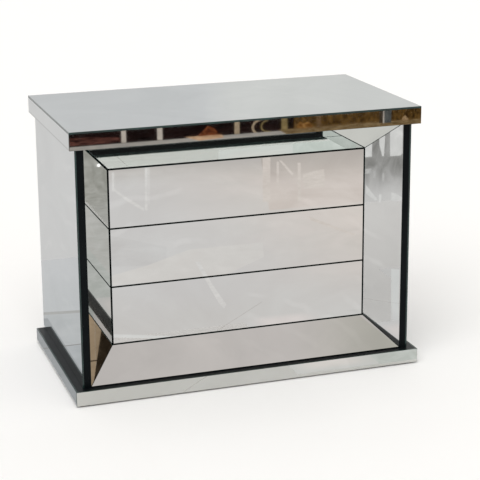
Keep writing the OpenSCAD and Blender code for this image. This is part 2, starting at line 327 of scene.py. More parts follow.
def finishPiece(bm, name, materials, *replaced, slot):
    piece = placeObject(name, closeMesh(bm, name))
    for material in materials:
        piece.data.materials.append(material)
    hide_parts(*replaced)
    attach(piece, nodes[replaced[0]]["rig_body"])
    return piece


def makePane(nodeName, kind, facing):
    bm = weldedCopy(nodeName)
    bmesh.ops.bevel(
        bm,
        geom=list(bm.edges),
        offset=mirrorGlass["arris"],
        segments=1,
        affect="EDGES",
        clamp_overlap=True,
    )
    # The silvered face comes first, then the edges, then the painted back
    squarely = mirrorGlass["squarely"]
    outward = Vector(facing)
    for face in bm.faces:
        along = face.normal.dot(outward)
        face.material_index = 0 if along > squarely else 2 if along < -squarely else 1
        face.smooth = False
    materials = [mirrorFaces[kind], groundEdge, backingPaint]
    finishPiece(bm, nodeName + "_pane", materials, nodeName, slot="mirror_glass")


for nodeName, (kind, facing) in panes.items():
    makePane(nodeName, kind, facing)
print("panes made:", len(panes))


# Boards

blackBoard = {
    "dark": (0.0022, 0.0034, 0.0042),
    "light": (0.0050, 0.0064, 0.0072),
    "cloud": {"stretch": (14, 14, 14), "detail": 5, "roughness": 0.6},
    "grain": {"stretch": (260, 260, 260), "detail": 2},
    "cloudySheen": True,
    "roughness": (0.30, 0.42),
    "relief": 0.00006,
    "shader": {"Specular IOR Level": 0.05},
    "nodes": [
        "left_side_panel", "right_side_panel", "top_board",
        "splay_top_backer", "splay_bottom_backer", "splay_left_backer", "splay_right_backer",
        "drawer_1_front_board", "drawer_2_front_board", "drawer_3_front_board",
    ],
}
deckBoard = {**blackBoard, "shader": {"Specular IOR Level": 0.15}, "nodes": ["plinth_deck"]}

greyBoard = {
    "dark": (0.105, 0.108, 0.112),
    "light": (0.150, 0.153, 0.157),
    "cloud": {"stretch": (6, 6, 11), "detail": 5, "roughness": 0.65},
    "grain": {"stretch": (620, 620, 620), "detail": 2},
    "roughness": (0.48, 0.62),
    "relief": 0.00015,
    "shader": {"Specular IOR Level": 0.35},
    "nodes": ["back_panel"],
}

fibreboard = {
    "dark": (0.245, 0.165, 0.100),
    "light": (0.400, 0.290, 0.190),
    "fibres": {"stretch": (420, 420, 420), "detail": 5, "roughness": 0.75},
    "fibreTones": (0.4, 1.0),
    "patches": {"stretch": (7, 7, 7)},
    "patchTones": (0.7, 1.0),
    "roughness": (0.68, 0.88),
    "relief": 0.00012,
    "shader": {"Specular IOR Level": 0.2},
    "nodes": [
        "plinth_front_rail", "plinth_back_rail", "plinth_side_rails",
        "base_panel", "subtop_panel", "left_upright", "right_upright",
    ],
}


def makeFibreboard():
    look = fibreboard
    material, tree, shader = startMaterial("raw_fibreboard", look["shader"])
    fibres = placedNoise(tree, **look["fibres"])
    patches = placedNoise(tree, **look["patches"])
    both = multiplyValues(
        tree, spread(tree, fibres, *look["fibreTones"]), spread(tree, patches, *look["patchTones"])
    )
    colour = twoTones(tree, both, "Value", look["dark"], look["light"])
    dressShader(tree, shader, colour, spread(tree, fibres, *look["roughness"]))
    addBump(tree, shader, fibres, look["relief"])
    return material


drawerWood = {
    "early": (0.600, 0.440, 0.275),
    "late": (0.470, 0.315, 0.180),
    "grain": {"detail": 4, "roughness": 0.55, "distortion": 0.9},
    "grainStretch": (70, 2.2),  # across and along it
    "pores": {"detail": 2},
    "poreStretch": (640, 26),
    "plyPitch": 0.0024,
    "plyDark": 0.55,
    "plyEdge": (0.15, 0.35),  # where a dark ply ends and a pale one begins, in shares of the pitch
    "edgeOn": 0.5,  # a face is an edge while its normal's part along the thickness is smaller
    "roughness": (0.42, 0.60),
    "relief": 0.00005,
    "shader": {"Specular IOR Level": 0.3},
}


def stretchAlong(axis, across, along):
    return [along if number == axis else across for number in range(3)]


def makePly(name, grainAxis, thicknessAxis):
    # Grain runs along one axis, and the plies show on edges that face off the thickness axis
    look = drawerWood
    material, tree, shader = startMaterial(name, look["shader"])
    grain = placedNoise(tree, stretchAlong(grainAxis, *look["grainStretch"]), **look["grain"])
    pores = placedNoise(tree, stretchAlong(grainAxis, *look["poreStretch"]), **look["pores"])
    colour = twoTones(tree, spread(tree, grain), "Result", look["late"], look["early"])
    thickness = "XYZ"[thicknessAxis]
    plies = addNode(tree, "ShaderNodeMath", {1: look["plyPitch"] / 2}, operation="PINGPONG")
    joinNodes(tree, splitPlace(tree), thickness, plies, 0)
    start, end = [look["plyPitch"] * share for share in look["plyEdge"]]
    stripe = ramp(tree, plies, "Value", start, end, look["plyDark"])
    facing = addNode(tree, "ShaderNodeNewGeometry")
    normal = addNode(tree, "ShaderNodeSeparateXYZ")
    joinNodes(tree, facing, "True Normal", normal, "Vector")
    size = addNode(tree, "ShaderNodeMath", operation="ABSOLUTE")
    joinNodes(tree, normal, thickness, size, 0)
    onEdge = addNode(tree, "ShaderNodeMath", {1: look["edgeOn"]}, operation="LESS_THAN")
    joinNodes(tree, size, "Value", onEdge, 0)
    shade = addNode(tree, "ShaderNodeMix", {"A": 1.0}, data_type="FLOAT")
    joinNodes(tree, onEdge, "Value", shade, "Factor")
    joinNodes(tree, stripe, "Result", shade, "B")
    shaded = multiplyColour(tree, colour, shade, "Result")
    dressShader(tree, shader, shaded, spread(tree, pores, *look["roughness"]))
    addBump(tree, shader, pores, look["relief"])
    return material


easedEdges = {
    "boards": 0.0005,
    "housings": 0.0006,
    "steps": 2,
    "joinWithin": 1e-5,
    "flatWithin": 1,  # degrees, as the next one
    "sharpFrom": 30,
}


def softenEdges(obj, width):
    weld = obj.modifiers.new("joined corners", "WELD")
    weld.merge_threshold = easedEdges["joinWithin"]
    whole = obj.modifiers.new("whole faces", "DECIMATE")
    whole.decimate_type = "DISSOLVE"
    whole.angle_limit = math.radians(easedEdges["flatWithin"])
    bevel = obj.modifiers.new("eased edges", "BEVEL")
    bevel.width = width
    bevel.segments = easedEdges["steps"]
    bevel.limit_method = "ANGLE"
    bevel.angle_limit = math.radians(easedEdges["sharpFrom"])
    bevel.use_clamp_overlap = True


def paintNode(nodeName, material, rounding="boards"):
    obj = nodes[nodeName]
    if not obj.material_slots:
        obj.data.materials.append(material)
    for place in obj.material_slots:
        place.material = material
    softenEdges(obj, easedEdges[rounding])


def paintNodes(look, material):
    for nodeName in look["nodes"]:
        paintNode(nodeName, material)


paintNodes(blackBoard, makeCoat("black_lacquer", blackBoard))
paintNodes(deckBoard, makeCoat("deck_lacquer", deckBoard))
paintNodes(fibreboard, makeFibreboard())
paintNodes(greyBoard, makeCoat("grey_hardboard", greyBoard))

plySides = makePly("ply_side", 1, 0)
plyBack = makePly("ply_back", 0, 1)
plyBottom = makePly("ply_bottom", 0, 2)
for number in (1, 2, 3):
    paintNode(f"drawer_{number}_left_side", plySides)
    paintNode(f"drawer_{number}_right_side", plySides)
    paintNode(f"drawer_{number}_back", plyBack)
    paintNode(f"drawer_{number}_bottom", plyBottom)
print("boards finished")


# Steel and plastic hardware

zincSteel = {
    "dark": (0.42, 0.43, 0.45),
    "light": (0.60, 0.61, 0.63),
    "cloud": {"stretch": (45, 12, 45), "detail": 4, "roughness": 0.6},
    "grain": {"stretch": (1400, 20, 1400), "detail": 2},
    "roughness": (0.26, 0.42),
    "relief": 0.00001,
    "shader": {"Metallic": 1.0},
}

plastic = {
    "cloud": {"stretch": (90, 90, 90)},
    "grain": {"stretch": (2200, 2200, 2200), "detail": 1},
    "relief": 0.00003,
}
latchTones = {
    "dark": (0.050, 0.053, 0.058),
    "light": (0.075, 0.078, 0.083),
    "roughness": (0.39, 0.53),
}
plungerTones = {
    "dark": (0.58, 0.58, 0.56),
    "light": (0.70, 0.70, 0.68),
    "roughness": (0.29, 0.43),
}
glideTones = {
    "dark": (0.030, 0.030, 0.032),
    "light": (0.050, 0.050, 0.052),
    "roughness": (0.44, 0.58),
}

zincPlate = makeCoat("zinc_plated_steel", zincSteel)
latchPlastic = makeCoat("latch_plastic", {**plastic, **latchTones})
plungerPlastic = makeCoat("plunger_plastic", {**plastic, **plungerTones})
glidePlastic = makeCoat("glide_plastic", {**plastic, **glideTones})


def solidsOf(nodeName):
    # The corner points of each separate solid in a node
    bm = weldedCopy(nodeName)
    found = []
    seen = set()
    for first in bm.verts:
        if first in seen:
            continue
        seen.add(first)
        waiting = [first]
        points = []
        while waiting:
            vert = waiting.pop()
            points.append(vert.co.copy())
            for edge in vert.link_edges:
                other = edge.other_vert(vert)
                if other not in seen:
                    seen.add(other)
                    waiting.append(other)
        found.append(points)
    bm.free()
    return found


def middleOf(points):
    low = Vector([min(p[axis] for p in points) for axis in range(3)])
    high = Vector([max(p[axis] for p in points) for axis in range(3)])
    return (low + high) / 2, high - low


def endsOf(points, axis):
    # The wide end's centre, and the direction from the narrow end to it
    middle, size = middleOf(points)
    wide = max(points, key=lambda p: sum((p[a] - middle[a]) ** 2 for a in range(3) if a != axis))
    side = 1 if wide[axis] > middle[axis] else -1
    outward = Vector([side if a == axis else 0 for a in range(3)])
    return middle + outward * size[axis] / 2, outward


def standAt(point, outward):
    return Matrix.Translation(point) @ outward.to_track_quat("Z", "Y").to_matrix().to_4x4()


def roundPoint(radius, angle, height):
    return Vector((radius * math.cos(angle), radius * math.sin(angle), height))


def turnProfile(bm, profile, pose, steps=40, sharp=()):
    # Turns (radius, height) points round the pose's Z axis; the ends close where the radius is 0
    rings = []
    for radius, height in profile:
        if radius == 0:
            rings.append([bm.verts.new(pose @ Vector((0, 0, height)))] * steps)
            continue
        rings.append([
            bm.verts.new(pose @ roundPoint(radius, 2 * math.pi * step / steps, height))
            for step in range(steps)
        ])
    for band, (lower, upper) in enumerate(zip(rings, rings[1:])):
        for step in range(steps):
            following = (step + 1) % steps
            corners = [lower[step], lower[following], upper[following], upper[step]]
            face = bm.faces.new(list(dict.fromkeys(corners)))
            face.smooth = band not in sharp
    return rings


def roundedRim(radius, low, high, rounding, steps=5):
    # A disc's profile from its axis at low to its axis at high, with a rounded upper rim
    points = [(0, low), (radius, low)]
    for step in range(steps + 1):
        angle = math.pi / 2 * step / steps
        points.append((
            radius - rounding + rounding * math.cos(angle),
            high - rounding + rounding * math.sin(angle),
        ))
    points.append((0, high))
    return points


def finishTurned(bm, name, material, nodeName, slot):
    bmesh.ops.recalc_face_normals(bm, faces=bm.faces)
    finishPiece(bm, name, [material], nodeName, slot=slot)


screwLook = {
    "steps": 40,
    "sunk": 0.00002,
    "rim": 0.00012,
    "coneEnd": 0.0018,
    "shank": 0.0015,
    "tip": 0.004,
    "arm": 0.0017,
    "armWidth": 0.00055,
    "recess": 0.0012,
    "recessShare": 0.5,
}


def crossOutline(arm, halfWidth):
    corners = []
    for turn in range(4):
        angle = math.pi / 2 * turn
        for x, y in ((arm, -halfWidth), (arm, halfWidth), (halfWidth, halfWidth)):
            corners.append((
                x * math.cos(angle) - y * math.sin(angle),
                x * math.sin(angle) + y * math.cos(angle),
            ))
    return corners


def addScrew(bm, pose, headRadius, length):
    look = screwLook
    steps = look["steps"]
    profile = [
        (0, -length),
        (look["shank"], -length + look["tip"]),
        (look["shank"], -look["coneEnd"]),
        (headRadius, -look["rim"]),
        (headRadius - look["rim"], 0),
    ]
    rim = turnProfile(bm, profile, pose, steps)[-1]
    outline = crossOutline(look["arm"], look["armWidth"])
    top = [bm.verts.new(pose @ Vector((x, y, 0))) for x, y in outline]
    share = look["recessShare"]
    floor = [
        bm.verts.new(pose @ Vector((x * share, y * share, -look["recess"]))) for x, y in outline
    ]
    count = len(top)
    for first in range(count):
        second = (first + 1) % count
        bm.faces.new((top[second], top[first], floor[first], floor[second]))
    bm.faces.new(floor)
    edges = [bm.edges.get((rim[step], rim[(step + 1) % steps])) for step in range(steps)]
    edges += [bm.edges.get((top[n], top[(n + 1) % count])) for n in range(count)]
    bmesh.ops.triangle_fill(bm, use_beauty=True, use_dissolve=False, edges=edges)


def makeScrews():
    bm = bmesh.new()
    for points in solidsOf("screws"):
        size = middleOf(points)[1]
        axis = max(range(3), key=lambda a: size[a])
        head, outward = endsOf(points, axis)
        across = min(size)
        pose = standAt(head - outward * screwLook["sunk"], outward)
        addScrew(bm, pose, across / 2, size[axis] - screwLook["sunk"])
    finishTurned(bm, "countersunk_screws", zincPlate, "screws", "zinc_steel")


glideLook = {
    "rounding": 0.0016,
    "soleWithin": 0.0005,  # corners this near the floor's side belong to the sole
    "nail": 0.0012,
    "nailTip": 0.001,  # how far the point stops short of the CAD nail's end
    "nailCone": 0.003,  # how far from that end its cone begins
    "nailSteps": 20,
}


def makeGlides():
    look = glideLook
    bm = bmesh.new()
    for points in solidsOf("foot_glides"):
        low = min(p.z for p in points)
        sole = low + look["soleWithin"]
        middle, size = middleOf([p for p in points if p.z < sole])
        shoulder = min(p.z for p in points if p.z > sole)
        depth = max(p.z for p in points) - shoulder
        pose = standAt(Vector((middle.x, middle.y, shoulder)), Vector((0, 0, -1)))
        rim = roundedRim(size.x / 2, 0, shoulder - low, look["rounding"])
        turnProfile(bm, rim, pose, sharp=(0,))
        nail = [
            (0, look["nailTip"] - depth),
            (look["nail"], look["nailCone"] - depth),
            (look["nail"], 0),
            (0, 0),
        ]
        turnProfile(bm, nail, pose, look["nailSteps"])
    finishTurned(bm, "nail_on_glides", glidePlastic, "foot_glides", "glide_plastic")


plungerLook = {
    "rounding": 0.0012,
    "faceWithin": 0.0005,  # corners this near the bumper's face belong to it
    "rearShare": 0.5,  # the corners beyond this share of the length give the stem's width
    "collar": 0.0006,
    "waist": 0.0004,
    "grooves": (0.3, 0.5, 0.7),
    "grooveDepths": (0.0006, 0.0016, 0.0022),  # where a groove is full, still full, and ends
}


def makePlungers(number):
    look = plungerLook
    name = f"latch_plungers_{number}"
    bm = bmesh.new()
    for points in solidsOf(name):
        bumper, outward = endsOf(points, 1)
        size = middleOf(points)[1]
        behind = [(bumper - p).dot(outward) for p in points]
        rear = [p for p, far in zip(points, behind) if far > size.y * look["rearShare"]]
        step = min(far for far in behind if far > look["faceWithin"])
        stem = middleOf(rear)[1].x / 2
        waist = stem - look["waist"]
        collar = look["collar"]
        full, stillFull, end = look["grooveDepths"]
        profile = [(0, -size.y), (stem - collar, -size.y), (stem, -size.y + collar)]
        for share in look["grooves"]:
            depth = -size.y + (size.y - step) * share
            profile += [
                (stem, depth),
                (waist, depth + full),
                (waist, depth + stillFull),
                (stem, depth + end),
            ]
        profile += [(stem, -step)] + roundedRim(size.x / 2, -step, 0, look["rounding"])[1:]
        turnProfile(bm, profile, standAt(bumper, outward), sharp=(0,))
    finishTurned(bm, f"push_plungers_{number}", plungerPlastic, name, "plunger_plastic")


slideLook = {
    "corner": 0.0007,
    "cornerSteps": 3,
    "cornerShape": 0.5,
    "lengthwise": 0.99,  # cosine from which an edge runs along the slide
    "holeRadius": 0.0022,
    "holeLength": 0.00441,  # a hair longer than wide, so that its outline keeps all its corners
    "slotLength": 0.009,
    "holes": (0.06, 0.36, 0.66, 0.94),
    "slots": (0.14, 0.50, 0.84),
    "cutReach": 0.003,
}


def slotOutline(length, radius, steps=10):
    half = length / 2 - radius
    corners = []
    for end in (1, -1):
        for step in range(steps + 1):
            angle = math.pi * step / steps - math.pi / 2 + (0 if end > 0 else math.pi)
            corners.append((end * half + radius * math.cos(angle), radius * math.sin(angle)))
    return corners


def addCutter(bm, x, y, z, length):
    outline = slotOutline(length, slideLook["holeRadius"])
    reach = slideLook["cutReach"]
    near = [bm.verts.new((x - reach, y + a, z + b)) for a, b in outline]
    far = [bm.verts.new((x + reach, y + a, z + b)) for a, b in outline]
    count = len(outline)
    bm.faces.new(near[::-1])
    bm.faces.new(far)
    for first in range(count):
        second = (first + 1) % count
        bm.faces.new((near[first], near[second], far[second], far[first]))


def makeSlides(nodeName, name, webOutside):
    # Rolled channels with round and slotted holes along the web
    look = slideLook
    bm = weldedCopy(nodeName)
    lengthwise = [
        edge for edge in bm.edges
        if abs((edge.verts[0].co - edge.verts[1].co).normalized().y) > look["lengthwise"]
    ]
    bmesh.ops.bevel(
        bm,
        geom=lengthwise,
        offset=look["corner"],
        segments=look["cornerSteps"],
        profile=look["cornerShape"],
        affect="EDGES",
        clamp_overlap=True,
    )
    piece = finishPiece(bm, name, [zincPlate], nodeName, slot="zinc_steel")
    openings = [(share, look["holeLength"]) for share in look["holes"]]
    openings += [(share, look["slotLength"]) for share in look["slots"]]
    cutters = bmesh.new()
    for points in solidsOf(nodeName):
        middle, size = middleOf(points)
        side = 1 if middle.x > 0 else -1
        web = middle.x + side * size.x / 2 * (1 if webOutside else -1)
        front = middle.y - size.y / 2
        for share, length in openings:
            addCutter(cutters, web, front + size.y * share, middle.z, length)
    bmesh.ops.recalc_face_normals(cutters, faces=cutters.faces)
    cutter = placeObject(name + "_cutters", closeMesh(cutters, name + "_cutters"))
    cut = piece.modifiers.new("holes", "BOOLEAN")
    cut.operation = "DIFFERENCE"
    cut.solver = "EXACT"
    cut.object = cutter
    bpy.context.view_layer.update()
    shaped = bpy.data.meshes.new_from_object(
        piece.evaluated_get(bpy.context.evaluated_depsgraph_get())
    )
    piece.modifiers.clear()
    piece.data = shaped
    shaped.name = name
    bpy.data.objects.remove(cutter)


makeScrews()
makeGlides()
paintNode("latch_housings", latchPlastic, "housings")
makeSlides("slide_cabinet_members", "cabinet_channels", webOutside=True)
for number in (1, 2, 3):
    makePlungers(number)
    makeSlides(f"drawer_{number}_slide_members", f"drawer_{number}_channels", webOutside=False)
    makeSlides(f"slide_middle_members_{number}", f"middle_channels_{number}", webOutside=True)
print("hardware finished")


# Floor, world, lamps

studio = {
    "floorSize": 60,
    "floorDark": (0.860, 0.860, 0.855),
    "floorLight": (0.890, 0.890, 0.885),
    "floorSeen": (0.955, 0.955, 0.950),
    "floorCloud": {"stretch": (0.8, 0.8, 0.8)},
    "floorShader": {"Specular IOR Level": 0.1, "Roughness": 0.9},
    "horizon": (0.850, 0.865, 0.865),
    "overhead": (0.730, 0.695, 0.668),
    "climb": (0.25, 0.85),  # how high the horizon's tone starts to turn, and where it has turned
    # tone of a side, and where it comes in across and upwards
    "sides": [
        ((1.095, 1.090, 1.060), (0.29, 0.31), (0.60, 0.30)),
        ((0.800, 0.822, 0.767), (0.33, 0.385), (0.70, 0.85)),
    ],
    "bands": {"stretch": (16, 16, 3), "roughness": 0.6},
    "banding": (0.965, 1.030),
    "sunFrom": (-0.55, -0.75, 1.05),
    "sunPower": 1.35,
    "sunSpread": 50,
}


def makeFloor():
    bm = bmesh.new()
    bmesh.ops.create_grid(bm, x_segments=1, y_segments=1, size=studio["floorSize"] / 2)
    floor = placeObject("studio_floor", closeMesh(bm, "studio_floor"))
    material, tree, shader = startMaterial("floor_paper", studio["floorShader"])
    cloud = placedNoise(tree, **studio["floorCloud"])
    colour = twoTones(
        tree, spread(tree, cloud), "Result", studio["floorDark"], studio["floorLight"]
    )
    rays = addNode(tree, "ShaderNodeLightPath")
    seen = addNode(tree, "ShaderNodeMath", operation="ADD", use_clamp=True)
    joinNodes(tree, rays, "Is Camera Ray", seen, 0)
    joinNodes(tree, rays, "Is Glossy Ray", seen, 1)
    clear = addNode(tree, "ShaderNodeMath", operation="ADD", use_clamp=True)
    joinNodes(tree, seen, "Value", clear, 0)
    joinNodes(tree, rays, "Is Transmission Ray", clear, 1)
    paper = mixColours(tree, second=studio["floorSeen"])
    joinNodes(tree, clear, "Value", paper, "Factor")
    joinNodes(tree, colour, "Result", paper, "A")
    joinNodes(tree, paper, "Result", shader, "Base Color")
    floor.data.materials.append(material)


def makeWorld():
    world = bpy.data.worlds.new("studio_world")
    bpy.context.scene.world = world
    world.use_nodes = True
    tree = world.node_tree
    tree.nodes.clear()
    end = addNode(tree, "ShaderNodeOutputWorld")
    light = addNode(tree, "ShaderNodeBackground", {"Strength": 1.0})
    split = splitPlace(tree, "Generated")
    height = ramp(tree, split, "Z", *studio["climb"])
    colour = twoTones(tree, height, "Result", studio["horizon"], studio["overhead"])
    for tone, rangeX, rangeZ in studio["sides"]:
        both = multiplyValues(
            tree, ramp(tree, split, "X", *rangeX), ramp(tree, split, "Z", *rangeZ)
        )
        tinted = mixColours(tree, second=tone, blend="MULTIPLY")
        joinNodes(tree, both, "Value", tinted, "Factor")
        joinNodes(tree, colour, "Result", tinted, "A")
        colour = tinted
    noise = placedNoise(tree, place="Generated", **studio["bands"])
    banded = multiplyColour(tree, colour, spread(tree, noise, *studio["banding"]), "Result")
    joinNodes(tree, banded, "Result", light, "Color")
    joinNodes(tree, light, "Background", end, "Surface")


def makeLamp():
    # One very wide soft light from the front left, above
    data = bpy.data.lights.new("soft_light", "SUN")
    data.energy = studio["sunPower"]
    data.angle = math.radians(studio["sunSpread"])
    lamp = placeObject("soft_light", data)
    lamp.rotation_euler = Vector(studio["sunFrom"]).to_track_quat("Z", "Y").to_euler()
    lamp.visible_glossy = False


# Cards outside the picture, which only the mirrors show

# What most cards fade into: the bare floor's tone, plain and warmer
bareFloor = (0.950, 0.950, 0.945)
warmFloor = (0.935, 0.930, 0.912)
cardPaper = {
    "shader": {
        "Base Color": (0, 0, 0, 1), "Roughness": 1.0,
        "Specular IOR Level": 0.0, "Emission Strength": 1.0,
    },
    "cloud": {"detail": 4, "roughness": 0.6, "distortion": 0.7},
    "cloudShare": (0.36, 0.64),
}
cardFinishes = {
    # dark and light tones, how the noise is stretched,
    # and fades: axis, start, end, tone at the start
    "blackStain": (
        (0.001, 0.001, 0.001), (0.022, 0.010, 0.009), (9, 9, 90),
        ("X", 0.02, 0.075, (0.900, 0.900, 0.895)),
    ),
    "redStain": ((0.003, 0.001, 0.001), (0.170, 0.066, 0.052), (24, 24, 200)),
    "rust": ((0.030, 0.006, 0.003), (0.330, 0.095, 0.034), (46, 46, 70)),
    "creamCloth": ((0.520, 0.310, 0.180), (0.860, 0.560, 0.350), (30, 30, 30)),
    "palePost": ((0.560, 0.500, 0.440), (0.760, 0.680, 0.600), (60, 60, 60)),
    "beigePost": ((0.340, 0.260, 0.170), (0.520, 0.400, 0.280), (60, 60, 60)),
    "olivePost": ((0.180, 0.130, 0.050), (0.330, 0.240, 0.110), (60, 60, 60)),
    "brownPost": ((0.120, 0.075, 0.036), (0.200, 0.120, 0.060), (60, 60, 60)),
    "slatePost": ((0.075, 0.080, 0.080), (0.125, 0.130, 0.125), (60, 60, 60)),
    "gold": (
        (0.035, 0.017, 0.005), (0.175, 0.094, 0.026), (90, 90, 40),
        ("Z", -0.012, 0.016, (0.270, 0.165, 0.066)), ("X", 1.72, 1.62, (0.900, 0.900, 0.895)),
    ),
    "greyMat": (
        (0.400, 0.380, 0.355), (0.520, 0.480, 0.440), (14, 14, 14), ("X", 0.00, 0.10, bareFloor),
    ),
    "goldMat": (
        (0.130, 0.080, 0.032), (0.330, 0.230, 0.120), (38, 38, 38), ("X", 1.72, 1.62, bareFloor),
    ),
    "amber": ((0.130, 0.050, 0.012), (0.460, 0.235, 0.070), (60, 60, 60)),
    "paleAmber": ((0.200, 0.120, 0.050), (0.480, 0.320, 0.180), (80, 80, 60)),
    "tanBoard": ((0.600, 0.446, 0.296), (0.720, 0.545, 0.368), (26, 26, 26)),
    "tanBoardDim": ((0.540, 0.400, 0.264), (0.640, 0.484, 0.326), (26, 26, 26)),
    "deepBrown": ((0.018, 0.012, 0.007), (0.085, 0.060, 0.038), (16, 16, 16)),
    "greyCloth": (
        (0.380, 0.378, 0.360), (0.620, 0.618, 0.600), (30, 30, 13),
        ("Z", 0.000, 0.125, (0.960, 0.955, 0.940)), ("Z", 0.360, 0.265, bareFloor),
        ("Y", -0.58, -0.680, bareFloor), ("Y", -0.92, -0.822, bareFloor),
    ),
    "whiteCard": ((1.020, 1.025, 1.005), (1.140, 1.145, 1.120), (26, 26, 26)),
    "paleCard": ((0.680, 0.680, 0.665), (0.860, 0.860, 0.840), (40, 40, 40)),
    "greenGreyCloth": (
        (0.520, 0.525, 0.480), (0.760, 0.765, 0.725), (26, 26, 26),
        ("X", 0.90, 1.38, (0.800, 0.800, 0.780)), ("Z", 0.320, 0.225, bareFloor),
        ("Y", -0.76, -0.665, bareFloor), ("Y", -0.26, -0.355, bareFloor),
    ),
    "lampDisc": ((2.400, 2.400, 2.400), (2.800, 2.800, 2.800), (10, 10, 10)),
    "floorSeam": (
        (0.420, 0.400, 0.380), (0.520, 0.500, 0.480), (20, 20, 20), ("X", -0.80, -0.52, bareFloor),
    ),
    "softSeam": (
        (0.660, 0.652, 0.625), (0.730, 0.720, 0.690), (20, 20, 20), ("X", -0.80, -0.52, bareFloor),
    ),
    "farFloor": (
        (0.868, 0.880, 0.872), (0.900, 0.910, 0.905), (9, 9, 9),
        ("X", -0.95, -0.60, bareFloor), ("Y", 0.85, 0.40, bareFloor),
    ),
    "footShade": ((0.555, 0.570, 0.572), (0.620, 0.635, 0.638), (20, 20, 20)),
    "dimFloor": (
        (0.763, 0.780, 0.775), (0.838, 0.850, 0.843), (9, 9, 9), ("X", -0.85, -0.52, bareFloor),
    ),
    "dimmerFloor": (
        (0.685, 0.706, 0.710), (0.760, 0.780, 0.786), (9, 9, 9),
        ("X", -0.85, -0.52, bareFloor), ("Y", -0.30, -0.12, bareFloor),
    ),
    "warmPaper": (
        (0.960, 0.905, 0.845), (1.060, 0.985, 0.925), (5, 5, 5),
        ("X", 0.05, 0.90, (0.945, 0.945, 0.940)), ("Y", -2.14, -1.84, (0.800, 0.775, 0.745)),
        ("Y", -2.60, -2.30, bareFloor), ("Y", -0.44, -0.80, warmFloor),
        ("X", 1.60, 1.30, bareFloor), ("X", -0.30, -0.05, (0.932, 0.927, 0.912)),
    ),
    "amberPaper": (
        (0.940, 0.860, 0.800), (1.035, 0.955, 0.900), (5, 5, 5),
        ("Y", -2.14, -1.60, (0.735, 0.690, 0.645)), ("X", 1.60, 1.40, bareFloor),
        ("Y", -2.60, -2.30, bareFloor),
    ),
    "palePaper": ((0.988, 0.975, 0.948), (1.022, 1.008, 0.980), (12, 12, 12)),
    "dimPaper": ((0.885, 0.885, 0.880), (0.925, 0.925, 0.920), (12, 12, 12)),
    "whiteMark": ((0.980, 0.980, 0.965), (1.110, 1.110, 1.090), (40, 40, 40)),
    "warmMark": ((0.945, 0.880, 0.818), (1.050, 0.980, 0.918), (40, 40, 40)),
    "creamPaper": (
        (1.050, 1.000, 0.978), (1.090, 1.035, 1.012), (12, 12, 12),
        ("X", 0.11, 0.17, (0.945, 0.943, 0.935)), ("X", 0.31, 0.24, warmFloor),
        ("Y", -0.47, -0.42, warmFloor), ("Y", -0.23, -0.27, (0.945, 0.943, 0.935)),
    ),
    "bluePaper": (
        (1.040, 1.062, 1.046), (1.080, 1.102, 1.086), (12, 12, 12), ("Y", -0.28, -0.36, bareFloor),
    ),
    "seamLine": ((0.660, 0.635, 0.610), (0.800, 0.775, 0.750), (20, 20, 20)),
    "greenPaper": (
        (0.835, 0.840, 0.810), (0.930, 0.935, 0.915), (22, 22, 22),
        ("X", 0.20, 0.60, warmFloor), ("X", 1.40, 1.15, bareFloor),
    ),
    "dimGreenPaper": (
        (0.790, 0.830, 0.800), (0.915, 0.945, 0.925), (22, 22, 22),
        ("X", 0.20, 0.34, (0.900, 0.894, 0.884)), ("X", 0.85, 0.66, (0.870, 0.880, 0.860)),
    ),
}


def rectangle(low, high):
    return [low, (high[0], low[1]), high, (low[0], high[1])]


def onEllipse(middle, radii, angle):
    return (middle[0] + radii[0] * math.cos(angle), middle[1] + radii[1] * math.sin(angle))


def disc(middle, radius, steps=20):
    turns = [2 * math.pi * step / steps for step in range(steps)]
    return [onEllipse(middle, (radius, radius), angle) for angle in turns]


def arcBand(middle, radii, width, start, end, steps=16):
    # A curved band; the angles are in degrees, and the outline goes out along it and back
    turns = [math.radians(start + (end - start) * step / steps) for step in range(steps + 1)]
    inside = [radius - width for radius in radii]
    outer = [onEllipse(middle, radii, angle) for angle in turns]
    return outer + [onEllipse(middle, inside, angle) for angle in reversed(turns)]


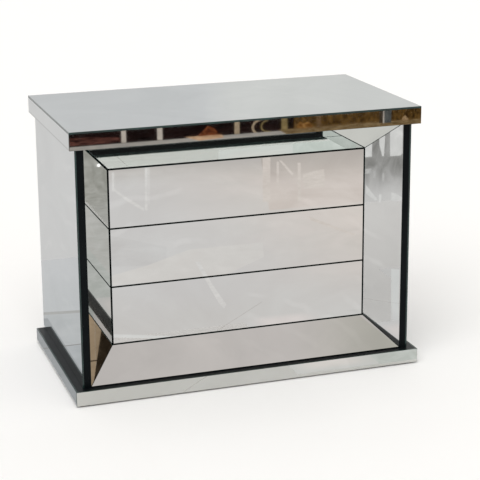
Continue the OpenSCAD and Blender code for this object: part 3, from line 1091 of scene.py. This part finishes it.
# Each set stands on one plane: an axis, where it crosses it, and the step from card to card.
# Later cards are nearer.
cardSets = {
    "screen": ("y", -2.70, 0.002, [
        ("blackStain", rectangle((0.02, 0.0), (1.06, 0.056))),
        ("gold", rectangle((1.036, 0.0), (1.72, 0.056))),
        ("redStain", [(0.06, 0.0), (0.331, 0.0), (0.331, 0.026), (0.20, 0.034), (0.06, 0.037)]),
        ("rust", [(0.632, 0.0), (0.745, 0.0), (0.722, 0.012), (0.700, 0.036), (0.676, 0.044),
                  (0.664, 0.030), (0.645, 0.016)]),
        ("amber", [(1.050, 0.0), (1.115, 0.0), (1.106, 0.022), (1.092, 0.030), (1.076, 0.024),
                   (1.058, 0.034), (1.046, 0.016)]),
        ("paleAmber", [(1.494, 0.0), (1.530, 0.0), (1.524, 0.018), (1.512, 0.028), (1.500, 0.014)]),
        ("palePost", rectangle((0.331, 0.0), (0.350, 0.056))),
        ("palePost", rectangle((0.472, 0.0), (0.493, 0.056))),
        ("beigePost", rectangle((0.783, 0.0), (0.804, 0.056))),
        ("beigePost", arcBand((0.915, 0.026), (0.062, 0.040), 0.009, 110, 262)),
        ("olivePost", arcBand((0.925, 0.028), (0.036, 0.026), 0.006, 100, 280)),
        ("olivePost", rectangle((0.976, 0.0), (1.001, 0.056))),
        ("brownPost", rectangle((1.122, 0.0), (1.142, 0.056))),
        ("deepBrown", rectangle((1.392, 0.0), (1.407, 0.056))),
        ("slatePost", rectangle((1.407, 0.0), (1.444, 0.056))),
        ("palePost", rectangle((1.407, 0.0), (1.412, 0.056))),
    ]),
    "mats": ("z", 0.001, 0.0002, [
        ("warmPaper", rectangle((-0.30, -2.60), (1.60, -0.44))),
        ("amberPaper", [(0.532, -1.42), (0.899, -2.60), (1.60, -2.60), (1.60, -1.42)]),
        ("dimPaper", [(-0.010, -1.309), (0.113, -1.139), (0.078, -1.020), (0.010, -0.982),
                      (-0.085, -1.004)]),
        ("palePaper", [(-0.126, -0.841), (-0.105, -0.926), (0.010, -0.982), (0.167, -1.092),
                       (0.391, -1.087), (0.345, -0.948), (0.184, -0.821)]),
        ("whiteMark", [(0.148, -0.968), (0.160, -0.965), (0.131, -0.757), (0.114, -0.585),
                       (0.099, -0.560), (0.099, -0.600), (0.120, -0.764)]),
        ("whiteMark", [(0.313, -2.116), (0.322, -2.113), (0.168, -1.550), (0.160, -1.553)]),
        ("whiteMark", [(0.325, -2.112), (0.328, -2.111), (0.193, -1.619), (0.190, -1.620)]),
        ("whiteMark", [(0.185, -2.084), (0.192, -2.082), (0.127, -1.822), (0.120, -1.824)]),
        ("whiteMark", [(0.127, -1.851), (0.136, -1.861), (0.147, -1.717), (0.164, -1.577),
                       (0.154, -1.542), (0.135, -1.681)]),
        ("warmMark", [(0.753, -2.106), (0.783, -2.107), (0.569, -1.514), (0.546, -1.522)]),
        ("warmMark", [(0.795, -2.048), (0.803, -2.045), (0.772, -1.835), (0.759, -1.821)]),
        ("warmMark", [(0.780, -2.033), (0.788, -2.030), (0.663, -1.688), (0.655, -1.691)]),
        ("warmMark", [(0.844, -1.988), (0.854, -1.984), (0.661, -1.480), (0.652, -1.483)]),
        ("warmMark", [(0.801, -1.825), (0.897, -1.867), (0.808, -1.634), (0.729, -1.628)]),
        ("warmMark", [(0.620, -1.301), (0.675, -1.072), (0.668, -1.047), (0.608, -1.259)]),
        ("bluePaper", [(-0.287, -0.471), (-0.271, -0.489), (-0.044, -0.383), (0.111, -0.312),
                       (0.105, -0.294), (-0.051, -0.364)]),
        ("seamLine", [(-0.1630, -0.217), (-0.1608, -0.217), (0.2058, -0.569), (0.2032, -0.569)]),
        ("greenPaper", rectangle((0.20, -0.434), (1.40, -0.322))),
        ("dimGreenPaper", rectangle((0.20, -0.322), (0.85, -0.228))),
        ("creamPaper", rectangle((0.11, -0.47), (0.31, -0.23))),
        ("greyMat", rectangle((0.00, -2.70), (0.97, -2.55))),
        ("blackStain", rectangle((0.03, -2.70), (0.97, -2.68))),
        ("goldMat", rectangle((0.97, -2.70), (1.72, -2.55))),
        ("creamCloth", [(0.585, -2.70), (0.735, -2.70), (0.725, -2.64), (0.62, -2.62)]),
        ("farFloor", rectangle((-0.95, 0.32), (-0.40, 0.85))),
        ("dimmerFloor", rectangle((-0.95, -0.30), (-0.400, 0.149))),
        ("dimFloor", [(-0.95, 0.149), (-0.400, 0.149), (-0.400, 0.405), (-0.95, 0.320)]),
        ("footShade", rectangle((-0.417, -0.24), (-0.399, 0.36))),
        ("floorSeam", rectangle((-0.95, 0.147), (-0.400, 0.152))),
        ("softSeam", [(-0.95, 0.300), (-0.400, 0.388), (-0.400, 0.409), (-0.95, 0.324)]),
        ("greenGreyCloth", rectangle((0.86, -0.66), (1.40, -0.434))),
    ]),
    "panelling": ("x", 1.55, -0.002, [
        ("tanBoard", rectangle((-0.66, 0.40), (-1.02, 0.479))),
        ("tanBoardDim", rectangle((-0.66, 0.479), (-1.02, 0.60))),
        ("deepBrown", [(-0.66, 0.521), (-0.869, 0.484), (-1.02, 0.458), (-1.02, 0.60),
                       (-0.66, 0.60)]),
        ("deepBrown", rectangle((-0.882, 0.40), (-0.878, 0.50))),
    ]),
    "rightScreen": ("x", 1.40, -0.002, [
        ("greenGreyCloth", rectangle((-0.76, 0.0), (-0.26, 0.32))),
        ("lampDisc", disc((-0.509, 0.094), 0.006)),
    ]),
    "leftScreen": ("x", -0.98, 0.002, [
        ("greyCloth", rectangle((-0.92, 0.0), (-0.58, 0.36))),
        ("whiteCard", rectangle((-0.713, 0.150), (-0.688, 0.30))),
        ("whiteCard", [(-0.754, 0.149), (-0.748, 0.149), (-0.737, 0.19), (-0.737, 0.30),
                       (-0.757, 0.30), (-0.757, 0.20)]),
        ("whiteCard", [(-0.818, 0.155), (-0.812, 0.147), (-0.775, 0.147), (-0.771, 0.30),
                       (-0.818, 0.30)]),
        ("paleCard", rectangle((-0.709, 0.097), (-0.688, 0.113))),
        ("paleCard", rectangle((-0.723, 0.081), (-0.715, 0.104))),
        ("paleCard", rectangle((-0.753, 0.067), (-0.746, 0.096))),
        ("whiteCard", [(-0.688, 0.062), (-0.688, 0.034), (-0.722, 0.006), (-0.729, 0.010)]),
        ("whiteCard", rectangle((-0.742, 0.0), (-0.734, 0.026))),
        ("whiteCard", [(-0.818, 0.0), (-0.776, 0.0), (-0.776, 0.030), (-0.790, 0.026),
                       (-0.818, 0.008)]),
    ]),
}


def makeCardFinish(name, dark, light, stretch, *fades):
    # A card gives out its own tone, so that no lamp's place changes what the mirrors show
    material, tree, shader = startMaterial(name, cardPaper["shader"])
    noise = placedNoise(tree, stretch, **cardPaper["cloud"])
    cloud = spread(tree, noise, 0, 1, *cardPaper["cloudShare"])
    colour = twoTones(tree, cloud, "Result", dark, light)
    split = splitPlace(tree)
    for axis, begin, end, tone in fades:
        along = ramp(tree, split, axis, begin, end, interpolation_type="SMOOTHSTEP")
        faded = mixColours(tree, first=tone)
        joinNodes(tree, along, "Result", faded, "Factor")
        joinNodes(tree, colour, "Result", faded, "B")
        colour = faded
    joinNodes(tree, colour, "Result", shader, "Emission Color")
    return material


def onPlane(axis, at, point):
    first, second = point
    return {"x": (at, first, second), "y": (first, at, second), "z": (first, second, at)}[axis]


def makeCards():
    finishes = {name: makeCardFinish("card_" + name, *look) for name, look in cardFinishes.items()}
    for setName, (axis, at, step, pieces) in cardSets.items():
        corners = []
        faces = []
        for number, (finish, outline) in enumerate(pieces):
            first = len(corners)
            corners += [onPlane(axis, at + step * number, point) for point in outline]
            faces.append(list(range(first, len(corners))))
        mesh = bpy.data.meshes.new(setName)
        mesh.from_pydata(corners, [], faces)
        used = list(dict.fromkeys(finish for finish, outline in pieces))
        for finish in used:
            mesh.materials.append(finishes[finish])
        for face, (finish, outline) in zip(mesh.polygons, pieces):
            face.material_index = used.index(finish)
        card = placeObject(setName, mesh)
        card.visible_camera = False
        card.visible_diffuse = False
        card.visible_shadow = False


makeFloor()
makeWorld()
makeLamp()
makeCards()
print("studio made")


# Camera

view = {
    "at": (-1.0108, -3.1334, 1.2376),
    "azimuth": 18.62,  # degrees, as the next two
    "drop": 14.78,
    "roll": -0.42,
    "sensor": 36,  # millimetres, as the lens
    "lens": 111.78,
    "shiftY": -0.0833,
}


def makeCamera():
    data = bpy.data.cameras.new("photo_view")
    camera = placeObject("photo_view", data)
    data.sensor_width = view["sensor"]
    data.lens = view["lens"]
    data.shift_y = view["shiftY"]
    turn = math.radians(view["azimuth"])
    drop = math.radians(view["drop"])
    roll = math.radians(view["roll"])
    forward = Vector(
        (math.sin(turn) * math.cos(drop), math.cos(turn) * math.cos(drop), -math.sin(drop))
    )
    right = forward.cross(Vector((0, 0, 1))).normalized()
    up = right.cross(forward)
    rolledRight = right * math.cos(roll) + up * math.sin(roll)
    rolledUp = up * math.cos(roll) - right * math.sin(roll)
    pose = Matrix((rolledRight, rolledUp, -forward)).transposed().to_4x4()
    pose.translation = Vector(view["at"])
    camera.matrix_world = pose
    bpy.context.scene.camera = camera


makeCamera()
bpy.context.scene.view_settings.view_transform = "Standard"
print("camera set")
